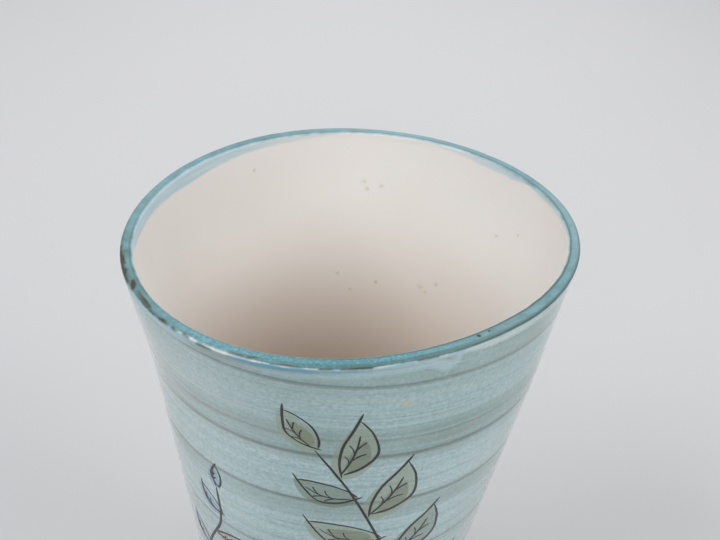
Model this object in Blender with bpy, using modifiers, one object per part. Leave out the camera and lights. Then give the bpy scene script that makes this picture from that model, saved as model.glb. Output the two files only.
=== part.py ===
"""Hand-thrown conical ceramic vase: a clay body on a luted foot ring, with three fired glaze coats.

Metres, +Z up. The origin is at the centre of the foot, on the surface that the vase stands on.
"""

import math

import bmesh
import bpy

# Driving dimensions
RIM_RADIUS = 0.080  # over the glaze, at the mean height of the rim
FOOT_RADIUS = 0.043  # where the straight wall's line meets the table
HEIGHT = 0.225  # mean height of the rim

# Mouth: left by the hand a little oval and lobed, with a rim that isn't quite level
RIM_OVAL = 0.0040  # pulled out at the front left and back right, and in at the other two quarters
RIM_LOBES = 0.0012  # swells at three places, one of them at +X
RIM_SLANT = 0.0005  # rise of the +X side above the mean height
RIM_SHAPED_DEPTH = 0.050  # the wall is round again this far below the rim

# Clay
LIP_WALL = 0.0026
LIP_CORNER = 0.0003  # radius of the two corners of the flat lip
FOOT_WALL = 0.0058
FLOOR_THICKNESS = 0.0070
INNER_CORNER_RADIUS = 0.0120  # fillet between the wall and the floor, inside

# Foot ring
FOOT_RING_HEIGHT = 0.0045
FOOT_RING_WIDTH = 0.0085
FOOT_CHAMFER = 0.0010
FOOT_INSET = 0.0008  # turned in from the wall's line

# Glaze
OUTER_GLAZE = 0.0006
LINER_GLAZE = 0.0005
RIM_GLAZE = 0.0006
RIM_SKIRT_OUTSIDE = 0.0008  # how far the rim's coat runs down the wall below the lip's corners
RIM_SKIRT_INSIDE = 0.0008
BARE_CLAY = 0.0018  # unglazed strip of wall above the foot ring

SEAT = 0.0003  # gap between pieces that seat on each other
COAT_JOINT = 0.0003  # gap where the edges of two coats meet

# Facets
TURN_STEPS = 64
LIP_STEPS = 3  # round each corner
CORNER_STEPS = 4
WALL_STEPS = 6  # within the hand-shaped depth
SHARP_ANGLE = 40  # degrees between faces that meet at an edge and not in a round
MERGE_DISTANCE = 0.00001

# Heights of the layers
WALL_SLOPE = (RIM_RADIUS - FOOT_RADIUS) / HEIGHT
SHAPED_FROM = HEIGHT - RIM_SHAPED_DEPTH
CLAY_BOTTOM = FOOT_RING_HEIGHT
CLAY_FLOOR = CLAY_BOTTOM + FLOOR_THICKNESS
CLAY_TOP = HEIGHT - RIM_GLAZE - SEAT
LIP_FOOT = CLAY_TOP - LIP_CORNER
SKIRT_END_OUTSIDE = LIP_FOOT - RIM_SKIRT_OUTSIDE
SKIRT_END_INSIDE = LIP_FOOT - RIM_SKIRT_INSIDE
GLAZE_LINE = CLAY_BOTTOM + BARE_CLAY


def clear_scene():
    for obj in list(bpy.data.objects):
        bpy.data.objects.remove(obj)


def new_collection(name):
    collection = bpy.data.collections.new(name)
    bpy.context.scene.collection.children.link(collection)
    return collection


def material(name, color, roughness):
    made = bpy.data.materials.new(name)
    made.use_nodes = True
    shader = made.node_tree.nodes["Principled BSDF"]
    shader.inputs["Base Color"].default_value = (*color, 1)
    shader.inputs["Roughness"].default_value = roughness
    shader.inputs["Metallic"].default_value = 0
    return made


# Radii of the wall's layers at a height, from the outside in

def outer_radius(z):
    return FOOT_RADIUS + WALL_SLOPE * z


def clay_outer(z):
    return outer_radius(z) - OUTER_GLAZE - SEAT


def clay_inner(z):
    share = z / HEIGHT
    return clay_outer(z) - (FOOT_WALL + (LIP_WALL - FOOT_WALL) * share)


def liner_outer(z):
    return clay_inner(z) - SEAT


def liner_inner(z):
    return liner_outer(z) - LINER_GLAZE


def wall_heights(low, high):
    """Heights along a wall from high to low, closer together where the rim is shaped by hand."""
    heights = [high]
    for step in range(1, WALL_STEPS + 1):
        heights.append(high + (SHAPED_FROM - high) * step / WALL_STEPS)
    heights.append(low)
    return heights


def arc(center_r, center_z, radius_r, radius_z, start, end, steps):
    """Points on an elliptical arc; angles in degrees from the outward direction, positive upwards."""
    points = []
    for step in range(steps + 1):
        angle = math.radians(start + (end - start) * step / steps)
        points.append((center_r + radius_r * math.cos(angle), center_z + radius_z * math.sin(angle)))
    return points


def flat_lip(outside, inside, top):
    """Flat lip with rounded corners between two radii, from the inside over the top to the outside."""
    corner = top - LIP_FOOT
    inner_corner = arc(inside + corner, LIP_FOOT, corner, corner, 180, 90, LIP_STEPS)
    outer_corner = arc(outside - corner, LIP_FOOT, corner, corner, 90, 0, LIP_STEPS)
    return inner_corner + outer_corner


def floor_corner(wall, floor):
    """Fillet from a wall down to a floor, ending on the floor."""
    z = floor + INNER_CORNER_RADIUS
    center = wall(z) - INNER_CORNER_RADIUS
    return arc(center, z, INNER_CORNER_RADIUS, INNER_CORNER_RADIUS, 0, -90, CORNER_STEPS)


def clay_profile():
    """Over the lip, down the outside and across the underside, then from the floor up the inside."""
    lip = flat_lip(clay_outer(LIP_FOOT), clay_inner(LIP_FOOT), CLAY_TOP)
    outside = [(clay_outer(z), z) for z in wall_heights(CLAY_BOTTOM, LIP_FOOT)[1:]]
    corner = floor_corner(clay_inner, CLAY_FLOOR)
    inside = [(clay_inner(z), z) for z in wall_heights(CLAY_FLOOR, LIP_FOOT)[1:-1]]
    return [*lip, *outside, (0, CLAY_BOTTOM), (0, CLAY_FLOOR), *reversed(corner), *reversed(inside)]


def foot_profile():
    """Section of the ring that the vase stands on, with both of its lower edges chamfered."""
    outside = clay_outer(0) - FOOT_INSET
    inside = outside - FOOT_RING_WIDTH
    top = FOOT_RING_HEIGHT - SEAT
    return [
        (inside, top),
        (outside, top),
        (outside, FOOT_CHAMFER),
        (outside - FOOT_CHAMFER, 0),
        (inside + FOOT_CHAMFER, 0),
        (inside, FOOT_CHAMFER),
    ]


def outer_glaze_profile():
    """Coat on the outside of the wall, from under the rim's coat to the bare strip at the foot."""
    heights = wall_heights(GLAZE_LINE, SKIRT_END_OUTSIDE - COAT_JOINT)
    outside = [(outer_radius(z), z) for z in heights]
    inside = [(outer_radius(z) - OUTER_GLAZE, z) for z in reversed(heights)]
    return outside + inside


def liner_glaze_profile():
    """Coat on the inside of the wall and on the floor, closed at the axis."""
    clay_side = CLAY_FLOOR + SEAT
    open_side = clay_side + LINER_GLAZE
    heights = wall_heights(clay_side, SKIRT_END_INSIDE - COAT_JOINT)[:-1]
    outside = [(liner_outer(z), z) for z in heights] + floor_corner(liner_outer, clay_side)
    inside = [(liner_inner(z), z) for z in heights] + floor_corner(liner_inner, open_side)
    return [*outside, (0, clay_side), (0, open_side), *reversed(inside)]


def rim_glaze_profile():
    """Coat that caps the lip, with a skirt down each side of the wall and an even thickness."""
    def near_outside(z):
        return clay_outer(z) + SEAT

    def near_inside(z):
        return clay_inner(z) - SEAT

    over = flat_lip(near_outside(LIP_FOOT) + RIM_GLAZE, near_inside(LIP_FOOT) - RIM_GLAZE, HEIGHT)
    under = flat_lip(near_outside(LIP_FOOT), near_inside(LIP_FOOT), CLAY_TOP + SEAT)
    outside = near_outside(SKIRT_END_OUTSIDE)
    inside = near_inside(SKIRT_END_INSIDE)
    return [
        *over,
        (outside + RIM_GLAZE, SKIRT_END_OUTSIDE),
        (outside, SKIRT_END_OUTSIDE),
        *reversed(under),
        (inside, SKIRT_END_INSIDE),
        (inside - RIM_GLAZE, SKIRT_END_INSIDE),
    ]


def rim_swell(angle):
    """How far the mouth stands out from a true circle at this angle about the axis."""
    return RIM_OVAL * math.sin(2 * angle) + RIM_LOBES * math.cos(3 * angle)


def rim_rise(angle):
    """How far the rim lies above its mean height at this angle about the axis."""
    return RIM_SLANT * math.cos(angle)


def shape_rim(mesh):
    """Moves the points near the rim, more so towards it, so that every coat follows the same mouth."""
    for vertex in mesh.vertices:
        share = min(1, max(0, (vertex.co.z - SHAPED_FROM) / RIM_SHAPED_DEPTH))
        ease = share * share * (3 - 2 * share)
        radius = math.hypot(vertex.co.x, vertex.co.y)
        if ease == 0 or radius == 0:
            continue
        angle = math.atan2(vertex.co.y, vertex.co.x)
        rise = ease * rim_rise(angle)
        grown = (radius + ease * rim_swell(angle) + WALL_SLOPE * rise) / radius
        vertex.co.x *= grown
        vertex.co.y *= grown
        vertex.co.z += rise


def turned(name, profile, finish, collection):
    """A closed section turned about Z, then given the hand-shaped mouth."""
    outline = bpy.data.meshes.new(name + "_section")
    points = [(radius, 0, z) for radius, z in profile]
    on_axis = [index for index, point in enumerate(points) if point[0] == 0]
    edges = [(index, (index + 1) % len(points)) for index in range(len(points))]
    if on_axis:
        edges.remove((on_axis[0], on_axis[1]))
    outline.from_pydata(points, edges, [])
    guide = bpy.data.objects.new(name + "_section", outline)
    collection.objects.link(guide)
    screw = guide.modifiers.new("turn", "SCREW")
    screw.steps = TURN_STEPS
    screw.render_steps = TURN_STEPS
    screw.use_merge_vertices = True
    screw.merge_threshold = MERGE_DISTANCE
    mesh = bpy.data.meshes.new_from_object(guide.evaluated_get(bpy.context.evaluated_depsgraph_get()))
    bpy.data.objects.remove(guide)
    mesh.name = name
    shape_rim(mesh)
    clean = bmesh.new()
    clean.from_mesh(mesh)
    bmesh.ops.remove_doubles(clean, verts=clean.verts, dist=MERGE_DISTANCE)
    bmesh.ops.recalc_face_normals(clean, faces=clean.faces)
    clean.to_mesh(mesh)
    clean.free()
    mesh.shade_smooth()
    mesh.set_sharp_from_angle(angle=math.radians(SHARP_ANGLE))
    mesh.materials.clear()
    mesh.materials.append(finish)
    piece = bpy.data.objects.new(name, mesh)
    collection.objects.link(piece)


def main():
    clear_scene()
    vase = new_collection("ceramic_vase")
    clay = material("fired_clay", (0.62, 0.47, 0.36), 0.85)
    turquoise = material("turquoise_glaze", (0.40, 0.59, 0.62), 0.22)
    cream = material("cream_tin_glaze", (0.73, 0.69, 0.65), 0.25)
    teal = material("teal_rim_glaze", (0.12, 0.36, 0.42), 0.20)
    turned("clay_body", clay_profile(), clay, vase)
    turned("foot_ring", foot_profile(), clay, vase)
    turned("outer_glaze", outer_glaze_profile(), turquoise, vase)
    turned("liner_glaze", liner_glaze_profile(), cream, vase)
    turned("rim_glaze", rim_glaze_profile(), teal, vase)


main()
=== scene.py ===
"""Looks of the hand-thrown vase: bare clay foot, brushed turquoise outside, cream inside and a teal rim.

Metres, +Z up, in the frame of the solids. The front of the vase faces -Y.
"""

import math

import bpy
import numpy as np
from mathutils import Matrix, Vector


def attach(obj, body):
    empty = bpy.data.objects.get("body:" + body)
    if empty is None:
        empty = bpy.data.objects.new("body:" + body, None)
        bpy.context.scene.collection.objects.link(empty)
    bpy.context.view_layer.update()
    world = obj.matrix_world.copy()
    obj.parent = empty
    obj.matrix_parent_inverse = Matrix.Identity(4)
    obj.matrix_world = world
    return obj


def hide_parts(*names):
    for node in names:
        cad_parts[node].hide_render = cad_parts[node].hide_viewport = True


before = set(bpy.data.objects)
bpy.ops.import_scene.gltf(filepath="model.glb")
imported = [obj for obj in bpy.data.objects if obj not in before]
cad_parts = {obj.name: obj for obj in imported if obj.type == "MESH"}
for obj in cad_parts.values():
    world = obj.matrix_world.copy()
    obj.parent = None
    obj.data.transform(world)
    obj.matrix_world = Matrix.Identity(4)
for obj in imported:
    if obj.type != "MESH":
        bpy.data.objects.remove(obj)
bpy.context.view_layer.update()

MM = 0.001
FULL_TURN = 2 * math.pi
FRONT = -math.pi / 2  # angle about the axis that faces the camera

# Sizes that the solids have too
RIM_RADIUS = 80 * MM
FOOT_RADIUS = 43 * MM
HEIGHT = 225 * MM
RIM_OVAL = 4.0 * MM
RIM_LOBES = 1.2 * MM
RIM_SLANT = 0.5 * MM
RIM_SHAPED_DEPTH = 50 * MM
LIP_WALL = 2.6 * MM
LIP_CORNER = 0.3 * MM
FOOT_WALL = 5.8 * MM
FLOOR_THICKNESS = 7 * MM
INNER_CORNER_RADIUS = 12 * MM
FOOT_RING_HEIGHT = 4.5 * MM
FOOT_RING_WIDTH = 8.5 * MM
FOOT_CHAMFER = 1 * MM
FOOT_INSET = 0.8 * MM
OUTER_GLAZE = 0.6 * MM
LINER_GLAZE = 0.5 * MM
RIM_GLAZE = 0.6 * MM
RIM_SKIRT = 0.8 * MM
BARE_CLAY = 1.8 * MM
SEAT = 0.3 * MM
COAT_JOINT = 0.3 * MM

WALL_SLOPE = (RIM_RADIUS - FOOT_RADIUS) / HEIGHT
SHAPED_FROM = HEIGHT - RIM_SHAPED_DEPTH
CLAY_BOTTOM = FOOT_RING_HEIGHT
CLAY_FLOOR = CLAY_BOTTOM + FLOOR_THICKNESS
CLAY_TOP = HEIGHT - RIM_GLAZE - SEAT
LIP_FOOT = CLAY_TOP - LIP_CORNER
SKIRT_END = LIP_FOOT - RIM_SKIRT
GLAZE_LINE = CLAY_BOTTOM + BARE_CLAY

# Marks of the hand on the surfaces
RING_PITCH = 11 * MM  # between the thrower's finger marks, which climb as one spiral
RING_DEPTH = 0.03 * MM
RING_FREE_DEPTH = 20 * MM  # no finger marks this near the rim
LAP_FILM = 0.06 * MM  # thickness of the rim's coat where it laps over its neighbours
LAP_CLEAR = 0.02 * MM
LAP_REACH = 0.18 * MM  # how far it laps past the joint, and how far that edge strays
LAP_WANDER = 0.15 * MM
LIP_OVERHANG = 0.1 * MM  # how far the flat of the lip stands out over the liner
LIP_LUMPS = 0.12 * MM  # rise and fall of the lip round the vase
GLAZE_WANDER = 0.5 * MM  # how far the lower edge of the outer coat strays
GLAZE_BEAD = 0.18 * MM  # roll of glaze along that edge
GLAZE_BEAD_HEIGHT = 1.3 * MM
TURNING_DEPTH = 0.12 * MM  # of the tool's rings under the base and round the foot
TURNING_PITCH = 2.9 * MM
FOOT_TURNING_PITCH = 1.6 * MM
BASE_TURNED_RADIUS = 32 * MM

# Points of the fine meshes
WALL_COLUMNS = 480
OUTER_RINGS = 186
LINER_RINGS = 120
LINER_CROWDING = 1.25  # above 1, the liner's rings lie closer together towards the rim
RIM_COLUMNS = 1440
LIP_RINGS = 8
CLAY_COLUMNS = 288
CLAY_RINGS = 40
BASE_RINGS = 60
FOOT_RINGS = 16
FLOOR_RINGS = 14
HIDDEN_RINGS = 8
CORNER_STEPS = 8
AXIS_GAP = 2 * MM  # radius at which a turned floor closes on its centre point
SHARP_ANGLE = math.radians(40)


# Shape of the vase

def outer_radius(z):
    return FOOT_RADIUS + WALL_SLOPE * z


def clay_outer(z):
    return outer_radius(z) - OUTER_GLAZE - SEAT


def clay_inner(z):
    return clay_outer(z) - (FOOT_WALL + (LIP_WALL - FOOT_WALL) * z / HEIGHT)


def liner_outer(z):
    return clay_inner(z) - SEAT


def liner_inner(z):
    return liner_outer(z) - LINER_GLAZE


def rim_swell(angle):
    """How far the hand-shaped mouth stands out from a true circle."""
    return RIM_OVAL * np.sin(2 * angle) + RIM_LOBES * np.cos(3 * angle)


def rim_rise(angle):
    """How far the rim lies above its mean height."""
    return RIM_SLANT * np.cos(angle)


def smooth_share(value, low, high):
    """Eased share from 0 at the low value to 1 at the high one."""
    share = np.clip((value - low) / (high - low), 0, 1)
    return share * share * (3 - 2 * share)


def mouth_swell(angle, z):
    return rim_swell(angle) * smooth_share(z, SHAPED_FROM, HEIGHT)


def wall_ripple(angle, z):
    """Radial ripple of the thrown wall: one climbing spiral of finger marks that dies out below the rim."""
    climb = z / RING_PITCH + angle / FULL_TURN
    fade = 1 - smooth_share(z, HEIGHT - 2 * RING_FREE_DEPTH, HEIGHT - RING_FREE_DEPTH)
    return RING_DEPTH * fade * np.sin(FULL_TURN * climb)


def uneven(angle, phase):
    """Smooth unevenness round the vase, from -1 to 1, with no seam. The phase picks another run of it."""
    waves = ((3, 0.9, 0.30), (7, 2.1, 0.26), (13, 0.4, 0.20), (29, 1.7, 0.14), (53, 2.9, 0.10))
    return sum(size * np.sin(count * angle + start + phase * count) for count, start, size in waves)


def shape_wall(angle, radius, z):
    """Moves points near the rim to the hand-shaped mouth."""
    rise = rim_rise(angle) * smooth_share(z, SHAPED_FROM, HEIGHT)
    z = z + rise
    return radius + WALL_SLOPE * rise + mouth_swell(angle, z), z


def arc(center_r, center_z, radius, start, end, steps=CORNER_STEPS):
    """Points on an arc; angles in degrees from the outward direction, positive upwards."""
    turns = np.radians(np.linspace(start, end, steps + 1))
    return [(center_r + radius * math.cos(turn), center_z + radius * math.sin(turn)) for turn in turns]


def flat_lip(outside, inside, top):
    corner = top - LIP_FOOT
    inner_corner = arc(inside + corner, LIP_FOOT, corner, 180, 90)
    outer_corner = arc(outside - corner, LIP_FOOT, corner, 90, 0)
    return inner_corner + outer_corner


def floor_corner(wall, floor):
    z = floor + INNER_CORNER_RADIUS
    return arc(wall(z) - INNER_CORNER_RADIUS, z, INNER_CORNER_RADIUS, 0, -90)


# Meshes

def round_angles(columns):
    return np.arange(columns) * FULL_TURN / columns - math.pi


def rings_of(profile, columns):
    """Radius and height of every point of a turned profile: one row per point, one column per angle."""
    radius = np.array([np.broadcast_to(r, columns) for r, z in profile])
    height = np.array([np.broadcast_to(z, columns) for r, z in profile])
    return radius, height


def new_piece(name, points, faces):
    mesh = bpy.data.meshes.new(name)
    mesh.from_pydata(points, [], faces)
    piece = bpy.data.objects.new(name, mesh)
    bpy.context.scene.collection.objects.link(piece)
    return piece


def skin(name, angle, radius, z, on_axis=False):
    """A closed mesh from rings of points that run over the top and down the outside.

    The rings close on each other, or else the first and last of them close on the axis.
    """
    rings, columns = radius.shape
    points = np.stack([radius * np.cos(angle), radius * np.sin(angle), z], axis=-1).reshape(-1, 3)
    ring = np.arange(rings - 1 if on_axis else rings)[:, None]
    column = np.arange(columns)[None, :]
    here = ring * columns
    below = (ring + 1) % rings * columns
    beside = (column + 1) % columns
    quads = np.stack([here + column, below + column, below + beside, here + beside], axis=-1)
    faces = quads.reshape(-1, 4).tolist()
    points = points.tolist()
    if on_axis:
        first, last = len(points), len(points) + 1
        final = (rings - 1) * columns
        points += [(0, 0, float(z[0].mean())), (0, 0, float(z[-1].mean()))]
        faces += [(first, step, (step + 1) % columns) for step in range(columns)]
        faces += [(last, final + (step + 1) % columns, final + step) for step in range(columns)]
    piece = new_piece(name, points, faces)
    piece.data.shade_smooth()
    piece.data.set_sharp_from_angle(angle=SHARP_ANGLE)
    return piece


def mark(piece, name, values):
    """Keeps one number for each point of a piece, for its material to read."""
    attribute = piece.data.attributes.new(name, "FLOAT", "POINT")
    padded = np.zeros(len(piece.data.vertices), dtype=np.float32)
    padded[: values.size] = values.ravel()
    attribute.data.foreach_set("value", padded)


def finish_piece(piece, material, node):
    piece.data.materials.append(material)
    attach(piece, "root")
    if node:
        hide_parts(node)


# Brushwork on the outside, in millimetres across and down the wall

FAR = 50.0  # stands for any distance out of a stroke's reach
REACH = 6.0
STROKE_STEPS = 28
INK_LIFT = 0.05 * MM
INK_SUNK = -0.06 * MM

NIB_ANGLE = math.radians(35)  # a pen line is thinnest in this direction
NIB_LEAST = 0.6  # share of its width that is left there, and how much it gains across the nib
NIB_SWELL = 0.75
LINE_TAPER = 9  # a pen line thins over a ninth of its length at either end
LINE_LEAST = 0.1  # square of the share of its width that is left at the tip
LEAF_LINE = 0.75
RIB_LINE = 0.55
STEM_LINE = 0.95
VEIN_LINE = 0.45
PEN_SLIP = (1.4, -1.0)  # the pen's outline doesn't quite fit the brush's leaf

LEAF_FULLNESS = 0.56  # half the brushed width, as a share of the drawn one
LEAF_SHOULDER = 0.8  # below 1, a leaf is widest nearer its base
LEAF_BLUNTNESS = 0.9
SHADE_FROM, SHADE_LENGTH = 0.12, 0.6  # where the second press starts, and its length, along a leaf
SHADE_ASIDE, SHADE_WIDTH = -0.14, 0.5
LAST_LEAF = 0.94  # share of the stem's length that has leaves
LEAF_SPREAD = 58  # degrees between a leaf and the stem at its foot, and how much less at its tip
LEAF_CLOSING = 20
LEAF_SHRINKING = 0.38  # how much smaller the leaves get towards the tip
LEAF_VARIETY = 0.14  # how much their sizes differ besides, and how fast that comes and goes
LEAF_VARIETY_STEP = 2.6
LEAF_BOW = 0.22
TIP_LEAF, TIP_BOW = 0.6, 0.1

LEAF_EDGES = (
    # pen strokes up one side of a leaf and down the other: share of its length, then of its width
    ((-0.04, -0.03), (0.22, 0.36), (0.52, 0.50), (0.82, 0.26), (1.10, -0.04)),
    ((0.98, 0.06), (0.78, -0.26), (0.48, -0.46), (0.20, -0.30), (0.02, 0.00)),
)
LEAF_RIB = ((0.06, 0.0), (0.30, 0.04), (0.55, 0.03), (0.78, -0.02))
LEAF_VEINS = (
    ((0.26, 0.03), (0.34, 0.12), (0.40, 0.27)),
    ((0.44, 0.03), (0.53, 0.12), (0.60, 0.25)),
    ((0.34, 0.03), (0.43, -0.09), (0.49, -0.26)),
    ((0.54, 0.02), (0.62, -0.08), (0.68, -0.20)),
)

PAINTS = (
    # wash, colour, how well it covers, width of its edge in millimetres
    ("sage", "#8C9A7E", 0.74, 0.4),
    ("moss", "#66755A", 0.72, 0.5),
    ("blue", "#7092B8", 0.78, 0.5),
    ("taupe", "#A39987", 0.78, 0.5),
    ("sky", "#5A98B2", 0.85, 1.2),
    ("pale", "#B4D2DA", 0.75, 1.8),
    # the milky wash is partly a painted sheen
    ("milk_and_sheen", "#D2DEDE", 0.70, 1.8),
    ("ochre", "#D2B584", 0.80, 0.6),
    ("brown", "#6E675C", 0.40, 1.8),
)
WASHES = [paint[0] for paint in PAINTS]
RIM_WASHES = ("sky", "pale", "milk_and_sheen", "brown")  # those that start on the rim's coat


def wall_place(center, across, drop, lift):
    """Points on the outside wall at millimetres across from a centre line and down from the rim."""
    z = HEIGHT - drop * MM
    cone = outer_radius(z)
    angle = center + across * MM / cone
    radius = cone + mouth_swell(angle, z) + wall_ripple(angle, z) + lift
    return np.stack([radius * np.cos(angle), radius * np.sin(angle), z], axis=-1)


def wall_sheet(center, angle, z):
    """Millimetres across from a centre line and down from the mean rim, for points on the outside wall."""
    turn = np.mod(angle - center + math.pi, FULL_TURN) - math.pi
    return turn * outer_radius(z) / MM, (HEIGHT - z) / MM


def smooth_path(points, steps=10):
    """A smooth curve through a few points."""
    knots = np.array([points[0], *points, points[-1]], dtype=float)
    share = np.linspace(0, 1, steps, endpoint=False)[:, None]
    spans = []
    for a, b, c, d in zip(knots, knots[1:], knots[2:], knots[3:]):
        bend = (2 * a - 5 * b + 4 * c - d) * share**2 + (3 * b - a - 3 * c + d) * share**3
        spans.append(b + 0.5 * ((c - a) * share + bend))
    return np.vstack([*spans, knots[-1:]])


def sideways(path):
    """Unit vectors to the left of a path."""
    along = np.gradient(path, axis=0)
    along /= np.linalg.norm(along, axis=1)[:, None]
    return np.stack([-along[:, 1], along[:, 0]], axis=-1)


def brush_stroke(points, widths):
    """Path of one loaded brush stroke through a few points, and half its width along that path."""
    path = smooth_path(points, STROKE_STEPS)
    shares = np.linspace(0, 1, len(path))
    return path, 0.5 * np.interp(shares, np.linspace(0, 1, len(widths)), widths)


def brush_distance(across, drop, path, half_width):
    """Distance to the edge of a brush stroke, below zero inside it."""
    nearest = np.full(across.shape, FAR)
    low = path.min(axis=0) - half_width.max() - REACH
    high = path.max(axis=0) + half_width.max() + REACH
    near = (across > low[0]) & (across < high[0]) & (drop > low[1]) & (drop < high[1])
    for (x, y), half in zip(path, half_width):
        gap = np.hypot(across[near] - x, drop[near] - y) - half
        nearest[near] = np.minimum(nearest[near], gap)
    return nearest


class Brushwork:
    """Strokes of one painted motif: its washes by colour, and its ink lines as paths with widths."""

    def __init__(self, center):
        self.center = FRONT + math.radians(center)
        self.washes = []
        self.lines = []

    def press(self, points, widths, color):
        self.washes.append((color, *brush_stroke(points, widths)))

    def line(self, path, width):
        """A pen line that swells as the nib turns and thins out at both ends."""
        along = np.gradient(path, axis=0)
        turn = np.arctan2(along[:, 1], along[:, 0])
        share = np.linspace(0, 1, len(path))
        swell = NIB_LEAST + NIB_SWELL * np.abs(np.sin(turn - NIB_ANGLE))
        taper = np.sqrt(np.clip(LINE_TAPER * np.minimum(share, 1 - share), LINE_LEAST, 1))
        self.lines.append((path, width * swell * taper))

    def leaf(self, base, heading, length, width, bow, color):
        """A leaf of one brush press in a loose outline of two pen strokes. A sage one has a second press."""
        toward = np.array([math.cos(heading), -math.sin(heading)])
        aside = np.array([toward[1], -toward[0]])

        def spot(share, off):
            swing = 0.5 * bow * length * math.sin(math.pi * share)
            return np.array(base) + share * length * toward + (swing + off * width) * aside

        share = np.linspace(0, 1, STROKE_STEPS)
        half = LEAF_FULLNESS * width * np.sin(math.pi * share**LEAF_SHOULDER) ** LEAF_BLUNTNESS
        self.washes.append((color, np.array([spot(step, 0) for step in share]), half))
        if color == "sage":
            shade = np.array([spot(SHADE_FROM + SHADE_LENGTH * step, SHADE_ASIDE) for step in share])
            self.washes.append(("moss", shade, SHADE_WIDTH * half))
        for stroke in LEAF_EDGES:
            self.line(smooth_path([spot(*knot) for knot in stroke]) + PEN_SLIP, LEAF_LINE)
        self.line(smooth_path([spot(*knot) for knot in LEAF_RIB]), RIB_LINE)
        for vein in LEAF_VEINS:
            self.line(smooth_path([spot(*knot) for knot in vein]), VEIN_LINE)

    def sprig(self, stem_points, leaves, length, width, colors, first=0.12):
        """A stem with leaves set by turns on its two sides, and one at its tip."""
        stem = smooth_path(stem_points)
        self.line(stem, STEM_LINE)
        for count in range(leaves):
            share = first + (LAST_LEAF - first) * count / leaves
            spot = int(share * (len(stem) - 1))
            along = stem[spot + 1] - stem[spot]
            way = 1 if count % 2 else -1
            spread = way * math.radians(LEAF_SPREAD - LEAF_CLOSING * share)
            heading = math.atan2(-along[1], along[0]) + spread
            variety = LEAF_VARIETY * math.sin(LEAF_VARIETY_STEP * count + length)
            size = (1 - LEAF_SHRINKING * share) * (1 + variety)
            color = colors[count % len(colors)]
            self.leaf(stem[spot], heading, length * size, width * size, LEAF_BOW * way, color)
        along = stem[-1] - stem[-3]
        heading = math.atan2(-along[1], along[0])
        self.leaf(stem[-1], heading, TIP_LEAF * length, TIP_LEAF * width, TIP_BOW, colors[0])


def painted_motifs():
    """Loose leaf sprigs round the vase, with a few brush presses among them and along the rim."""
    front = Brushwork(0)
    front_stem = [(34, 152), (28, 118), (17, 86), (6, 60), (-6, 40)]
    front.sprig(front_stem, 7, 36, 16, ("sage", "sage", "moss"), 0.16)
    front.sprig([(-54, 152), (-51, 122), (-43, 100), (-44, 80)], 4, 20, 8, ("blue", "blue", "taupe"))
    front.press([(-33, 2.0), (-26, 2.2), (-18, 2.5), (-11, 2.7), (-6, 2.5)], (1.0, 1.8, 2.4, 2.6, 1.0), "sky")
    front.press([(-5, 2.5), (3, 2.6), (10, 2.7)], (0.8, 1.2, 0.6), "sky")
    front.press([(-22, 4.3), (0, 4.3), (20, 4.0), (31, 3.6)], (0.8, 2.0, 2.4, 3.0), "pale")
    front.press([(29, 3.2), (33, 4.8), (36.5, 6.4), (38, 7.4)], (2.4, 4.2, 4.2, 2.0), "pale")
    front.press([(41.0, 2.6), (39.8, 4.8), (38.2, 7.4)], (2.2, 2.8, 1.6), "pale")
    front.press([(-78, 2.2), (-66, 2.4), (-56, 3.0), (-49, 3.6)], (0.8, 2.0, 2.8, 1.0), "pale")
    # a whitish wash under the rim at the front right, partly a painted sheen
    front.press([(43, 2.2), (54, 2.7), (64, 3.0), (80, 3.2)], (1.0, 2.4, 2.6, 1.0), "milk_and_sheen")
    front.press([(-43, 1.6), (-39, 2.0), (-33, 2.2)], (0.8, 1.6, 1.2), "brown")
    front.press([(-46, 2.8), (-38, 3.5), (-28, 3.8)], (1.0, 2.6, 0.6), "brown")
    front.press([(20.5, 18.4), (22.5, 18.6), (24.5, 18.6)], (0.9, 1.5, 0.8), "ochre")
    front.press([(38.7, 7.5), (38.2, 9.5), (38.6, 12.0)], (0.4, 1.6, 0.8), "brown")
    front.press([(-36, 33.6), (-33, 33.2), (-31, 33.4)], (0.6, 1.2, 0.7), "brown")
    front.press([(-74, 37.6), (-58, 35.2), (-44, 34.4), (-35, 33.8)], (0.6, 2.2, 2.4, 0.8), "brown")
    left = Brushwork(-118)
    left.sprig([(-6, 172), (4, 130), (-4, 86), (10, 44)], 9, 26, 10, ("sage", "sage", "moss"))
    left.press([(-28, 120), (-34, 104), (-34, 88)], (1.5, 5.5, 6, 2), "blue")
    left.press([(24, 96), (32, 84), (34, 70)], (1.5, 5, 5.5, 2), "blue")
    right = Brushwork(118)
    right.sprig([(4, 170), (-6, 132), (6, 90), (-6, 40)], 9, 25, 10, ("moss", "sage", "sage"))
    right.press([(30, 124), (36, 108), (34, 92)], (1.5, 5.5, 6, 2), "blue")
    right.press([(-22, 70), (-31, 60), (-34, 46)], (1.5, 5, 5.5, 2), "taupe")
    return {"front": front, "left": left, "right": right}


def ink_ribbons(name, brushwork):
    """The pen lines of one motif, as thin closed ribbons that lie on the wall."""
    points = []
    faces = []
    for path, width in brushwork.lines:
        aside = sideways(path) * (0.5 * width)[:, None]
        left, right = path + aside, path - aside
        corners = []
        for edge, lift in ((left, INK_LIFT), (right, INK_LIFT), (right, INK_SUNK), (left, INK_SUNK)):
            corners.append(wall_place(brushwork.center, edge[:, 0], edge[:, 1], lift))
        start = len(points)
        points += np.stack(corners, axis=1).reshape(-1, 3).tolist()
        for step in range(len(path) - 1):
            here = start + 4 * step
            for corner in range(4):
                after = (corner + 1) % 4
                faces.append((here + corner, here + after, here + 4 + after, here + 4 + corner))
        end = start + 4 * (len(path) - 1)
        faces.append((start + 3, start + 2, start + 1, start))
        faces.append((end, end + 1, end + 2, end + 3))
    return new_piece(name, points, faces)


# Pieces

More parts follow.
